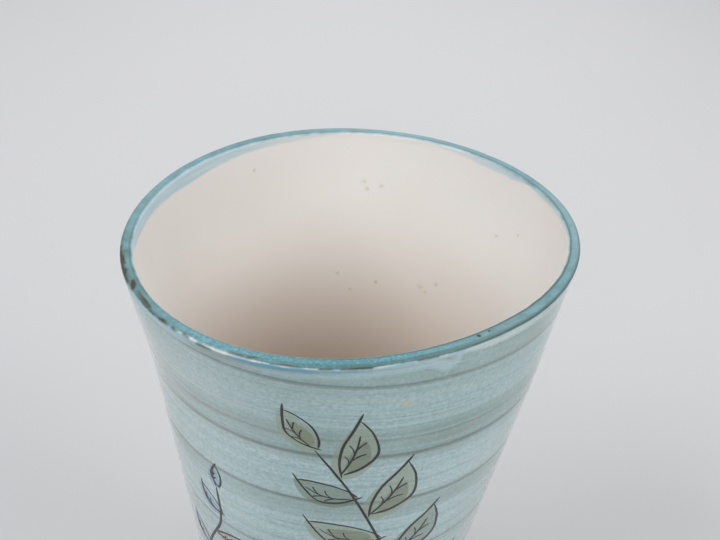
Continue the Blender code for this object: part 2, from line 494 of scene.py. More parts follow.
# Values round the rim, at angles about the axis in degrees: 0 is the right side, 90 the back, 270 the front
TEAL_EDGE = (  # how far the teal reaches down the outside, in millimetres from the flat top's edge
    (0, 1.9), (170, 1.9), (200, 1.5), (215, 1.1), (240, 1.1), (256, 1.5), (277, 1.8), (283, 1.4),
    (290, 1.6), (300, 1.9), (312, 2.1), (325, 2.6), (332, 2.6), (345, 2.2), (360, 1.9),
)
TEAL_END = (  # how far it reaches over the lip, in millimetres inward of the flat top's inner edge
    (0, 0.9), (30, 1.3), (39, 1.4), (58, 1.0), (90, 1.05), (104, 1.25), (120, 1.2), (138, 0.6),
    (150, 0.5), (185, 0.6), (210, 0.9), (360, 0.9),
)
# the pools are partly painted shade on the lip's rounded corners, darkest at the front right
RIM_POOLS_AND_SHADE = (  # how darkly the glaze pools along its two edges
    (0, 0.75), (30, 0.5), (90, 0.2), (150, 0.2), (180, 0.3), (200, 0.5), (212, 0.4), (230, 0.2),
    (262, 0.35), (271, 0.6), (285, 0.7), (300, 0.9), (330, 1.0), (360, 0.75),
)
RIM_CYAN = (  # how far the coat leans from teal to grainy cyan
    (0, 0.2), (170, 0.2), (190, 0.0), (215, 0.1), (228, 0.4), (243, 0.9), (256, 0.8), (262, 0.6),
    (278, 0.7), (283, 0.9), (290, 0.5), (300, 0.25), (318, 0.1), (330, 0.1), (345, 0.2), (360, 0.2),
)
RIM_PALE = (  # how thin and pale it is
    (0, 0.4), (20, 0.4), (39, 0.27), (58, 0.33), (75, 0.5), (90, 0.4), (104, 0.35), (120, 0.15),
    (143, 0.2), (165, 0.25), (180, 0.2), (200, 0.0), (222, 0.1), (240, 0.25), (256, 0.1), (266, 0.0),
    (277, 0.05), (285, 0.12), (300, 0.17), (318, 0.25), (330, 0.15), (345, 0.2), (360, 0.38),
)
LAPS_INSIDE = (  # how many millimetres below the rim the brush reached inside, and how well it covers there
    (0, 0.2, 0.5), (12, 1.2, 0.5), (28, 2.2, 0.55), (32, 1.0, 0.55), (40, 3.2, 0.6), (51, 3.3, 0.5),
    (63, 1.5, 0.35), (72, 0.6, 0.3), (94, 0.6, 0.4), (103, 1.8, 0.45), (113, 3.0, 0.4), (118, 3.2, 0.4),
    (123, 3.4, 0.5), (133, 4.0, 0.65), (153, 5.5, 0.75), (174, 4.4, 0.75), (192, 4.1, 0.7),
    (198, 2.0, 0.6), (204, 0.2, 0.5), (360, 0.2, 0.5),
)

# Marks on the lip, each a path of degrees about the axis and millimetres out from the flat top's edge,
# with its widths in millimetres
RUBBED = (
    (((196.5, 0.9), (202, 0.8), (207, 0.9), (212, 1.0)), (0.5, 1.2, 1.3, 0.7)),
    (((199, 0.8), (202, 0.4), (204.5, 0.0)), (0.7, 1.2, 0.8)),
    (((205.5, 0.9), (207.5, 0.2), (209, 0.9)), (0.6, 1.2, 0.8)),
    (((212.0, -0.9), (213.5, -0.3), (215.0, 0.4)), (0.9, 2.0, 1.0)),
    (((216.5, -0.5), (219.5, -0.4), (222, -0.2), (223.5, 0.2)), (0.3, 0.9, 1.0, 0.3)),
    (((217.5, 0.4), (221, 0.5), (225, 0.9), (227, 0.9)), (0.1, 0.5, 0.4, 0.1)),
    (((227.4, 0.9), (229, 0.7), (230.4, 1.0)), (0.3, 1.0, 0.3)),
    (((232.0, 0.8), (232.9, 1.3)), (0.5, 0.3)),
    (((235.2, 0.8), (236.6, 1.2)), (0.6, 0.3)),
    (((239.0, 2.0), (240.5, 2.1), (242.4, 2.1)), (0.4, 0.7, 0.3)),
    (((246.6, 0.9), (248, 0.8), (249.6, 0.8)), (0.2, 0.5, 0.3)),
    (((250.8, 0.8), (252.4, 0.3)), (0.6, 0.3)),
    (((256, 1.3), (259, 1.2), (262, 1.4)), (0.0, 0.2, 0.0)),
    (((266, 1.8), (268.5, 1.7)), (0.4, 0.2)),
    (((270.5, 1.8), (274, 1.7), (277, 1.8)), (0.2, 0.6, 0.4)),
    (((288, 1.7), (293, 1.7)), (0.1, 0.3)),
)
# white breaks where the glaze is thin, partly painted highlight along the lip's outer corner
BROKEN_AND_GLINT = (
    (((234.0, 1.0), (237, 1.1), (239, 1.2)), (0.2, 0.7, 0.4)),
    (((240.2, 1.3), (243, 1.5), (247, 1.5), (249.6, 1.4)), (0.1, 0.9, 0.7, 0.2)),
    (((249.2, 1.5), (252, 1.6), (255.2, 1.6)), (0.1, 0.6, 0.2)),
    (((256.2, 1.9), (258.5, 1.9), (260.8, 2.1)), (0.1, 0.5, 0.1)),
    (((262.3, 1.8), (264, 1.9), (266, 1.9)), (0.1, 0.5, 0.1)),
    (((267.5, 2.2), (271, 2.2), (274, 2.2)), (0.1, 0.5, 0.2)),
    (((277.2, 2.1), (280.5, 2.0), (283.2, 2.1)), (0.3, 0.8, 0.2)),
    (((285.5, 2.1), (288, 2.1), (290.4, 2.1)), (0.1, 0.6, 0.2)),
    (((290.6, 2.2), (295, 2.3), (299, 2.4)), (0.2, 0.8, 0.2)),
    (((300, 2.4), (304, 2.5), (309, 2.6)), (0.2, 0.6, 0.2)),
    (((313, 2.9), (318, 3.0), (324, 3.1)), (0.1, 0.5, 0.1)),
)


def round_profile(angle, knots, column=1):
    """Values at angles about the axis, read off a column of a table that starts with degrees."""
    turns = [knot[0] for knot in knots]
    values = [knot[column] for knot in knots]
    return np.interp(np.mod(np.degrees(angle), 360), turns, values)


def mark_laps(piece, angle, z):
    """Keeps how far each point lies above the lower edge of the strokes inside, and how well they cover."""
    below_rim = (HEIGHT + rim_rise(angle) - z) / MM
    mark(piece, "lap", round_profile(angle, LAPS_INSIDE) - below_rim)
    mark(piece, "lap_cover", np.broadcast_to(round_profile(angle, LAPS_INSIDE, 2), z.shape))


def mark_washes(piece, angle, z, motifs, colors):
    """Keeps each point's distance from the edge of the nearest wash of each colour, in millimetres."""
    turn = np.broadcast_to(angle, z.shape)
    for color in colors:
        edge = np.full(z.shape, FAR)
        for motif in motifs.values():
            across, drop = wall_sheet(motif.center, turn, z)
            for name, path, half in motif.washes:
                if name == color:
                    edge = np.minimum(edge, brush_distance(across, drop, path, half))
        mark(piece, color, edge)


def mark_strokes(piece, name, angle, outward, strokes):
    """Keeps each point's distance from the nearest of some marks on the lip, in millimetres."""
    per_degree = math.radians(1) * RIM_RADIUS / MM
    around = np.broadcast_to(np.mod(np.degrees(angle), 360) * per_degree, outward.shape)
    edge = np.full(outward.shape, FAR)
    for knots, widths in strokes:
        path, half = brush_stroke([(turn * per_degree, out) for turn, out in knots], widths)
        edge = np.minimum(edge, brush_distance(around, outward, path, half))
    mark(piece, name, edge)


def outer_coat(motifs):
    """The brushed coat outside: an uneven lower edge with a rolled bead, and the washes of the painting."""
    angle = round_angles(WALL_COLUMNS)
    top = SKIRT_END - COAT_JOINT
    bottom = GLAZE_LINE + GLAZE_WANDER * (1 + uneven(angle, 0.3))
    outside = np.linspace(0, 1, OUTER_RINGS)[:, None]
    inside = np.linspace(1, 0, HIDDEN_RINGS)[:, None]
    share = np.vstack([outside, inside])
    z = top + (bottom[None, :] - top) * share
    bead = GLAZE_BEAD * np.exp(-(((z - bottom) / GLAZE_BEAD_HEIGHT) ** 2))
    radius = outer_radius(z) + bead
    radius[OUTER_RINGS:] = outer_radius(z[OUTER_RINGS:]) - OUTER_GLAZE
    radius, z = shape_wall(angle, radius, z)
    radius[:OUTER_RINGS] += wall_ripple(angle, z[:OUTER_RINGS])
    piece = skin("outer_coat", angle, radius, z)
    mark_washes(piece, angle, z, motifs, WASHES)
    return piece


def rim_cap(motifs):
    """The coat over the lip, which laps a little over the coats beside it with an uneven edge."""
    angle = round_angles(RIM_COLUMNS)
    end_out = SKIRT_END - (COAT_JOINT + LAP_REACH + LAP_WANDER * uneven(angle, 1.1))
    end_in = SKIRT_END - (COAT_JOINT + LAP_REACH + LAP_WANDER * uneven(angle, 2.3))
    joint = SKIRT_END - 0.5 * COAT_JOINT
    film_edge = LAP_CLEAR + 0.5 * LAP_FILM

    def outside(z, lift):
        return outer_radius(z) + lift

    def inside(z, lift):
        return liner_inner(z) - lift

    corners = flat_lip(outside(LIP_FOOT, LAP_FILM), inside(LIP_FOOT, LAP_FILM) - LIP_OVERHANG, HEIGHT)
    inner_corner, outer_corner = corners[: CORNER_STEPS + 1], corners[CORNER_STEPS + 1 :]
    top_radii = np.linspace(inner_corner[-1][0], outer_corner[0][0], LIP_RINGS)
    top = [(r, HEIGHT) for r in top_radii[1:-1]]
    under = flat_lip(clay_outer(LIP_FOOT) + SEAT, clay_inner(LIP_FOOT) - SEAT, CLAY_TOP + SEAT)
    skirt_in = [(inside(end_in, film_edge), end_in), (inside(SKIRT_END, LAP_FILM), SKIRT_END)]
    skirt_out = [(outside(SKIRT_END, LAP_FILM), SKIRT_END), (outside(end_out, film_edge), end_out)]
    shown = [*skirt_in, *inner_corner, *top, *outer_corner, *skirt_out]
    hidden = [
        (outside(end_out, LAP_CLEAR), end_out),
        (outside(SKIRT_END, LAP_CLEAR), joint),
        (clay_outer(SKIRT_END) + SEAT, SKIRT_END),
        *reversed(under),
        (clay_inner(SKIRT_END) - SEAT, SKIRT_END),
        (inside(SKIRT_END, LAP_CLEAR), joint),
        (inside(end_in, LAP_CLEAR), end_in),
    ]
    radius, height = rings_of(shown + hidden, RIM_COLUMNS)

    # Millimetres along the shown side, from the inner edge of the lap outwards
    seen = len(shown)
    top_starts = len(skirt_in) + CORNER_STEPS
    top_ends = top_starts + LIP_RINGS - 1
    step = np.hypot(np.diff(radius[:seen], axis=0), np.diff(height[:seen], axis=0)) / MM
    run = np.vstack([np.zeros((1, RIM_COLUMNS)), np.cumsum(step, axis=0)])

    radius, height = shape_wall(angle, radius, height)
    lump = LIP_LUMPS * uneven(angle, 4.2)
    height = height + lump * np.clip((height - SKIRT_END) / (HEIGHT - SKIRT_END), 0, 1)
    piece = skin("rim_cap", angle, radius, height)
    outward = np.full(height.shape, FAR)
    outward[:seen] = run - run[top_ends]
    mark(piece, "past_edge", outward - round_profile(angle, TEAL_EDGE))
    mark(piece, "past_end", (run[top_starts] - run) - round_profile(angle, TEAL_END))
    mark(piece, "inward", run[top_starts] - run)
    for name, knots in (("pools_and_shade", RIM_POOLS_AND_SHADE), ("cyan", RIM_CYAN), ("pale_coat", RIM_PALE)):
        mark(piece, name, np.broadcast_to(round_profile(angle, knots), height.shape))
    mark_strokes(piece, "rubbed", angle, outward, RUBBED)
    mark_strokes(piece, "broken_and_glint", angle, outward, BROKEN_AND_GLINT)
    mark_washes(piece, angle, height, motifs, RIM_WASHES)
    mark_laps(piece, angle, height)
    return piece


def liner_coat():
    """The cream coat inside, with the places where the rim's brush slipped over it."""
    angle = round_angles(WALL_COLUMNS)
    clay_side = CLAY_FLOOR + SEAT
    open_side = clay_side + LINER_GLAZE
    top = SKIRT_END - COAT_JOINT
    corner_in = floor_corner(liner_inner, open_side)
    corner_out = floor_corner(liner_outer, clay_side)
    spread = np.linspace(0, 1, LINER_RINGS) ** LINER_CROWDING
    walls = [top + (corner_in[0][1] - top) * share for share in spread]
    floor_radii = np.linspace(corner_in[-1][0], AXIS_GAP, FLOOR_RINGS)
    inner = [(liner_inner(z), z) for z in walls[:-1]] + corner_in + [(r, open_side) for r in floor_radii[1:]]
    hidden = np.linspace(top, corner_out[0][1], HIDDEN_RINGS)
    outer = [(liner_outer(z), z) for z in hidden[:-1]] + corner_out + [(AXIS_GAP, clay_side)]
    radius, z = rings_of([*reversed(inner), *outer], WALL_COLUMNS)
    radius, z = shape_wall(angle, radius, z)
    piece = skin("liner_coat", angle, radius, z, on_axis=True)
    mark_laps(piece, angle, z)
    return piece


def clay_wall():
    """The thrown body, which shows as a bare strip above the foot and under the base."""
    angle = round_angles(CLAY_COLUMNS)
    lip = flat_lip(clay_outer(LIP_FOOT), clay_inner(LIP_FOOT), CLAY_TOP)
    outside = [(clay_outer(z), z) for z in np.linspace(LIP_FOOT, CLAY_BOTTOM, CLAY_RINGS)[1:]]
    base = []
    for r in np.linspace(BASE_TURNED_RADIUS, AXIS_GAP, BASE_RINGS):
        groove = TURNING_DEPTH * (1 + math.cos(FULL_TURN * r / TURNING_PITCH))
        base.append((r, CLAY_BOTTOM + groove))
    corner = floor_corner(clay_inner, CLAY_FLOOR)
    inside = [(clay_inner(z), z) for z in np.linspace(corner[0][1], LIP_FOOT, CLAY_RINGS)[1:-1]]
    profile = [(AXIS_GAP, CLAY_FLOOR), *reversed(corner), *inside, *lip, *outside, *base]
    radius, z = rings_of(profile, CLAY_COLUMNS)
    radius, z = shape_wall(angle, radius, z)
    return skin("clay_wall", angle, radius, z, on_axis=True)


def foot():
    """The ring that the vase stands on, with turning lines and softened edges."""
    angle = round_angles(CLAY_COLUMNS)
    outside = clay_outer(0) - FOOT_INSET
    inside = outside - FOOT_RING_WIDTH
    top = FOOT_RING_HEIGHT - SEAT
    outer_edge = arc(outside - FOOT_CHAMFER, FOOT_CHAMFER, FOOT_CHAMFER, 0, -90)
    inner_edge = arc(inside + FOOT_CHAMFER, FOOT_CHAMFER, FOOT_CHAMFER, -90, -180)
    side = []
    for z in np.linspace(top, FOOT_CHAMFER, FOOT_RINGS)[:-1]:
        groove = 0.5 * TURNING_DEPTH * (1 - math.cos(FULL_TURN * (z - FOOT_CHAMFER) / FOOT_TURNING_PITCH))
        side.append((outside - groove, z))
    radius, z = rings_of([(inside, top), *side, *outer_edge, *inner_edge], CLAY_COLUMNS)
    return skin("foot", angle, radius, z)


# Materials

SHARE, UNDER, OVER, MIXED = 0, 6, 7, 2  # sockets of a Mix node for colours
MID = {"From Min": 0.3, "From Max": 0.7}  # the span that a noise mostly keeps to
GLASS_IOR = 1.5

CREAM = "#EEECE9"
# colour of the painted shade that darkens the liner deep inside the vase
DEEP_SHADE_CREAM = "#CDBDAF"
LAP_BLUE = "#A9CFDE"


def srgb(code):
    """A colour written as an sRGB hex value, in linear light."""
    parts = [int(code[at : at + 2], 16) / 255 for at in (1, 3, 5)]
    linear = [part / 12.92 if part <= 0.04045 else ((part + 0.055) / 1.055) ** 2.4 for part in parts]
    return (*linear, 1)


def per(size_mm):
    """Repeats in a metre of a pattern of this size in millimetres."""
    return 1 / (size_mm * MM)


def join(tree, node, inputs):
    """Links other nodes to a node's inputs, and sets those inputs that get plain values."""
    for key, value in inputs.items():
        if isinstance(value, bpy.types.NodeSocket):
            tree.links.new(value, node.inputs[key])
        else:
            node.inputs[key].default_value = value


def add(tree, kind, inputs=None, output=0, **settings):
    """Adds a shader node with its settings and its links or values, and gives back one of its outputs."""
    node = tree.nodes.new("ShaderNode" + kind)
    for name, value in settings.items():
        setattr(node, name, value)
    join(tree, node, inputs or {})
    return node.outputs[output]


def start_material(name):
    """A new material, its nodes, and the place of each point in metres for its patterns to follow."""
    material = bpy.data.materials.new(name)
    material.use_nodes = True
    tree = material.node_tree
    return material, tree, add(tree, "TexCoord", output="Object")


def finish_surface(tree, ground, layers, surface):
    """Lays colours over a ground, each by its share, and gives the shader that and its other inputs."""
    color = srgb(ground)
    for share, over in layers:
        over = srgb(over) if isinstance(over, str) else over
        color = add(tree, "Mix", {SHARE: share, UNDER: color, OVER: over}, MIXED, data_type="RGBA")
    join(tree, tree.nodes["Principled BSDF"], {"Base Color": color, **surface})


BRUSH_PASSES = (
    # drop below the rim in millimetres of a pass's lower edge, then how thick the sage wash lies
    # just above it and just below it, then how dark its edge line is
    (0.6, 0.30, 0.78, 0.0),
    (9.0, 0.62, 0.42, 0.75),
    (17.0, 0.26, 0.22, 0.0),
    (28.5, 0.30, 0.60, 0.0),
    (34.6, 0.95, 0.50, 0.4),
    (38.5, 0.75, 0.70, 0.0),
    (42.4, 1.00, 0.62, 0.85),
    (47.5, 0.16, 0.04, 0.0),
    (67.0, 0.08, 0.75, 1.0),
    (77.0, 0.45, 0.08, 0.0),
    (99.0, 0.22, 0.62, 0.8),
    (112.0, 0.18, 0.40, 0.0),
    (128.0, 0.55, 0.12, 0.7),
    (152.0, 0.20, 0.62, 0.7),
    (174.0, 0.60, 0.14, 0.7),
    (198.0, 0.45, 0.70, 0.7),
)
PASS_EDGE = 0.45  # millimetres either side of a pass's edge over which it ends
LINE_HALF = 1.2  # half-width of an edge line, as coarse as the ramp's steps of 0.9 mm need to show it
TOP_PASS = 9.0
LEVEL_PASS = 42.4  # passes from here down lie level
TOP_SLANT = 7.0  # millimetres that the top pass falls from the middle to the right side, were it straight
TOP_BEND = 0.15  # how much less it falls towards the right
WAVER = 1.2  # millimetres between the highest and lowest of a wavering pass, and its length
WAVER_LENGTH = 45

# Patterns of the outer coat, in millimetres
HAIR_PITCH, HAIR_LENGTH = 0.8, 110  # between the brush's hair lines, and along them
STREAK_PITCH, STREAK_LENGTH = 3.0, 130
STREAK_RELIEF = 1.5  # how much higher the streaks stand than the hair lines
PATCH_SIZE = 38
MOTTLE_SIZE = 1.3
CRAZING_SIZE = 6
SPECK_SPACING = 9
FRAY = 0.9  # how far a painted edge wanders
FRAY_SIZE = 2.5


def set_stops(ramp, stops):
    """Grey stops of a colour ramp that runs down the wall: drops in millimetres with a value each."""
    while len(ramp.elements) > 1:
        ramp.elements.remove(ramp.elements[-1])
    for count, (drop, value) in enumerate(stops):
        at = drop * MM / HEIGHT
        element = ramp.elements[0] if count == 0 else ramp.elements.new(at)
        element.position = at
        element.color = (value, value, value, 1)


def pass_level(tree, place, parts):
    """How far below the rim each point lies along the brush passes, in millimetres.

    The passes near the rim lie aslant, and all of them waver by half a millimetre.
    """
    from_rim = {0: parts["Z"], 1: -1 / MM, 2: HEIGHT / MM}
    drop = add(tree, "Math", from_rim, operation="MULTIPLY_ADD")
    slant_ends = {"From Min": TOP_PASS, "From Max": LEVEL_PASS, "To Min": TOP_SLANT, "To Max": 0.0}
    slant = add(tree, "MapRange", {"Value": drop, **slant_ends})
    leftward = add(tree, "Math", {0: parts["X"], 1: -1 / RIM_RADIUS}, operation="MULTIPLY")
    bend = add(tree, "Math", {0: leftward, 1: TOP_BEND, 2: 1.0}, operation="MULTIPLY_ADD")
    aslant = add(tree, "Math", {0: leftward, 1: bend}, operation="MULTIPLY")
    leveled = add(tree, "Math", {0: slant, 1: aslant, 2: drop}, operation="MULTIPLY_ADD")
    waver = add(tree, "TexNoise", {"Vector": place, "Scale": per(WAVER_LENGTH), "Detail": 1.0})
    waver = add(tree, "Math", {0: waver, 1: 0.5}, operation="SUBTRACT")
    return add(tree, "Math", {0: waver, 1: WAVER, 2: leveled}, operation="MULTIPLY_ADD")


def streak_noise(tree, place, level, pitch, length):
    """Noise in long streaks that follow the brush, with the millimetres between them and along them."""
    rise = add(tree, "Math", {0: level, 1: 1 / pitch}, operation="MULTIPLY")
    turning = (per(length), per(length), 0)
    around = add(tree, "VectorMath", {0: place, 1: turning}, operation="MULTIPLY")
    upright = add(tree, "CombineXYZ", {"Z": rise})
    spot = add(tree, "VectorMath", {0: upright, 1: around}, operation="ADD")
    return add(tree, "TexNoise", {"Vector": spot, "Scale": 1.0, "Detail": 3.0})


def pass_layers(tree, level, streak, patch, across):
    """The sage wash, thinner on the left and heavier on the right as painted shade, and the dark line where a
    pass ends.
    """
    wash_stops = []
    line_stops = []
    for drop, above, below, line in BRUSH_PASSES:
        wash_stops += [(drop - PASS_EDGE, above), (drop + PASS_EDGE, below)]
        if line:
            line_stops += [(drop - LINE_HALF, 0), (drop, line), (drop + LINE_HALF, 0)]
    level_share = add(tree, "Math", {0: level, 1: MM / HEIGHT}, operation="MULTIPLY")
    wash = add(tree, "ValToRGB", {0: level_share})
    edge = add(tree, "ValToRGB", {0: level_share})
    set_stops(wash.node.color_ramp, wash_stops)
    set_stops(edge.node.color_ramp, line_stops)
    pull = add(tree, "MapRange", {"Value": streak, **MID, "To Min": 0.35, "To Max": 1.2})
    load = add(tree, "MapRange", {"Value": patch, **MID, "To Min": 0.6, "To Max": 1.15})
    # painted shade: the wash grows heavier from the left flank towards the right one
    right_shade_ends = {"From Min": -60 * MM, "From Max": 50 * MM, "To Min": 0.8, "To Max": 1.15}
    side = add(tree, "MapRange", {"Value": across, **right_shade_ends})
    loaded = add(tree, "Math", {0: pull, 1: load}, operation="MULTIPLY")
    loaded = add(tree, "Math", {0: loaded, 1: side}, operation="MULTIPLY")
    sage = add(tree, "Math", {0: wash, 1: loaded}, operation="MULTIPLY", use_clamp=True)
    gap_ends = {"From Min": 0.34, "From Max": 0.5, "To Min": 0.85, "To Max": 1.0}
    gaps = add(tree, "MapRange", {"Value": patch, **gap_ends})
    line = add(tree, "Math", {0: edge, 1: gaps}, operation="MULTIPLY")
    rust = add(tree, "MapRange", {"Value": streak, "From Min": 0.4, "From Max": 0.6})
    line_ends = {UNDER: srgb("#3E5252"), OVER: srgb("#52564A")}
    line_color = add(tree, "Mix", {SHARE: rust, **line_ends}, MIXED, data_type="RGBA")
    return [(sage, "#728B84"), (line, line_color)]


def painted_layers(tree, place, dry, names):
    """Shares and colours of painted washes, which have slightly frayed edges and let brush marks through."""
    fray = add(tree, "TexNoise", {"Vector": place, "Scale": per(FRAY_SIZE), "Detail": 2.0})
    layers = []
    for name, code, cover, soft in PAINTS:
        if name in names:
            distance = add(tree, "Attribute", output="Fac", attribute_name=name)
            frayed = add(tree, "Math", {0: fray, 1: FRAY, 2: distance}, operation="MULTIPLY_ADD")
            edge_ends = {"From Min": 0.5 * (FRAY + soft), "From Max": 0.5 * (FRAY - soft), "To Max": cover}
            within = add(tree, "MapRange", {"Value": frayed, **edge_ends})
            share = add(tree, "Math", {0: within, 1: dry}, operation="MULTIPLY", use_clamp=True)
            layers.append((share, code))
    return layers


def turquoise_glaze():
    """Tin-glazed earthenware brushed with copper turquoise on the wheel, then fired under clear glass.

    It gives the eye pale turquoise with level brush marks: hair lines, sage streaks where two passes
    overlap, a thin dark line where a pass ends, faint crazing and iron specks. The painting lies in the
    glaze. The glass mirrors the pale room where the wall turns away, so the sides look lighter.
    """
    material, tree, place = start_material("brushed_turquoise_tin_glaze")
    parts = add(tree, "SeparateXYZ", {0: place}).node.outputs
    level = pass_level(tree, place, parts)
    hair = streak_noise(tree, place, level, HAIR_PITCH, HAIR_LENGTH)
    streak = streak_noise(tree, place, level, STREAK_PITCH, STREAK_LENGTH)
    patch = add(tree, "TexNoise", {"Vector": place, "Scale": per(PATCH_SIZE), "Detail": 2.0})
    mottle = add(tree, "TexNoise", {"Vector": place, "Scale": per(MOTTLE_SIZE), "Detail": 2.0})
    crazing = {"Vector": place, "Scale": per(CRAZING_SIZE)}
    cells = add(tree, "TexVoronoi", crazing, feature="DISTANCE_TO_EDGE")
    spots = add(tree, "TexVoronoi", {"Vector": place, "Scale": per(SPECK_SPACING)})

    # The ground is whiter where the coat is thin and on the tops of the brush ridges, and has painted light
    # on the left flank
    thin = add(tree, "MapRange", {"Value": streak, "From Min": 0.32, "From Max": 0.7})
    # painted light: the left flank is whitened as if lit more from the left
    left_light_ends = {"From Min": -15 * MM, "From Max": -60 * MM, "To Max": 0.75}
    left = add(tree, "MapRange", {"Value": parts["X"], **left_light_ends})
    mottled = add(tree, "MapRange", {"Value": mottle, **MID, "To Max": 0.6})
    hair_dark = add(tree, "MapRange", {"Value": hair, "From Min": 0.52, "From Max": 0.75, "To Max": 0.38})
    hair_pale = add(tree, "MapRange", {"Value": hair, "From Min": 0.46, "From Max": 0.26, "To Max": 0.38})
    crazed = add(tree, "MapRange", {"Value": cells, "From Min": 0.025, "From Max": 0.0, "To Max": 0.14})
    dry = add(tree, "MapRange", {"Value": streak, **MID, "To Min": 0.75, "To Max": 1.05})
    speck = add(tree, "MapRange", {"Value": spots, "From Min": 0.04, "From Max": 0.02, "To Max": 0.8})
    layers = [
        (thin, "#C5DFE2"),
        (left, "#CBE1E4"),
        (mottled, "#84A2A6"),
        (hair_dark, "#6F9096"),
        (hair_pale, "#CADCDD"),
        *pass_layers(tree, level, streak, patch, parts["X"]),
        (crazed, "#D8E4E4"),
        *painted_layers(tree, place, dry, WASHES),
        (speck, "#3A3A36"),
    ]
    relief = add(tree, "Math", {0: streak, 1: STREAK_RELIEF, 2: hair}, operation="MULTIPLY_ADD")
    bump = add(tree, "Bump", {"Strength": 0.3, "Distance": 0.08 * MM, "Height": relief})
    gloss = add(tree, "MapRange", {"Value": streak, **MID, "To Min": 0.24, "To Max": 0.36})
    glass = {"IOR": GLASS_IOR, "Coat Weight": 1.0, "Coat Roughness": 0.08}
    finish_surface(tree, "#A1C3C8", layers, {"Roughness": gloss, "Normal": bump, **glass})
    return material


RIM_PITS = (
    # angle about the axis in degrees, millimetres in from the outer edge, radius in millimetres
    (-54.5, 2.3, 1.00),
    (-51.0, 2.6, 0.60),
)
RIM_GRAINS = (
    # colour, noise at which it has ended and is full
    ("#7DBBCA", 0.50, 0.34),
    ("#446A66", 0.52, 0.70),
)
# olive pool lines that also paint shade on the lip's rounded corners
RIM_POOL_AND_SHADE_LINES = (
    # edge that the pool follows, millimetres from it to the deepest of the pool, half-width in millimetres
    ("past_edge", -0.75, 1.25),
    ("inward", 0.1, 0.7),
)
EDGE_MARKS = (
    # mark, distances from its edge in millimetres at which it has ended and is full, cover, colour
    # the white breaks are partly a painted highlight on the outer corner
    ("broken_and_glint", 0.25, -0.25, 0.9, "#E4E9E6"),
    ("rubbed", 0.75, -0.05, 0.65, "#5E6656"),
    ("rubbed", 0.20, -0.40, 0.92, "#302E27"),
)
GRAIN_SIZE, BLOT_SIZE, TATTER_SIZE = 1, 5, 2  # millimetres
TEAL_FADE = 1.2  # millimetres over which the teal ends inside
WANDER = 0.8  # how far the teal's two edges stray, in millimetres


def lip_place(turn, inward):
    angle = math.radians(turn)
    radius = RIM_RADIUS + float(rim_swell(angle)) - inward * MM
    return (radius * math.cos(angle), radius * math.sin(angle), HEIGHT + float(rim_rise(angle)))


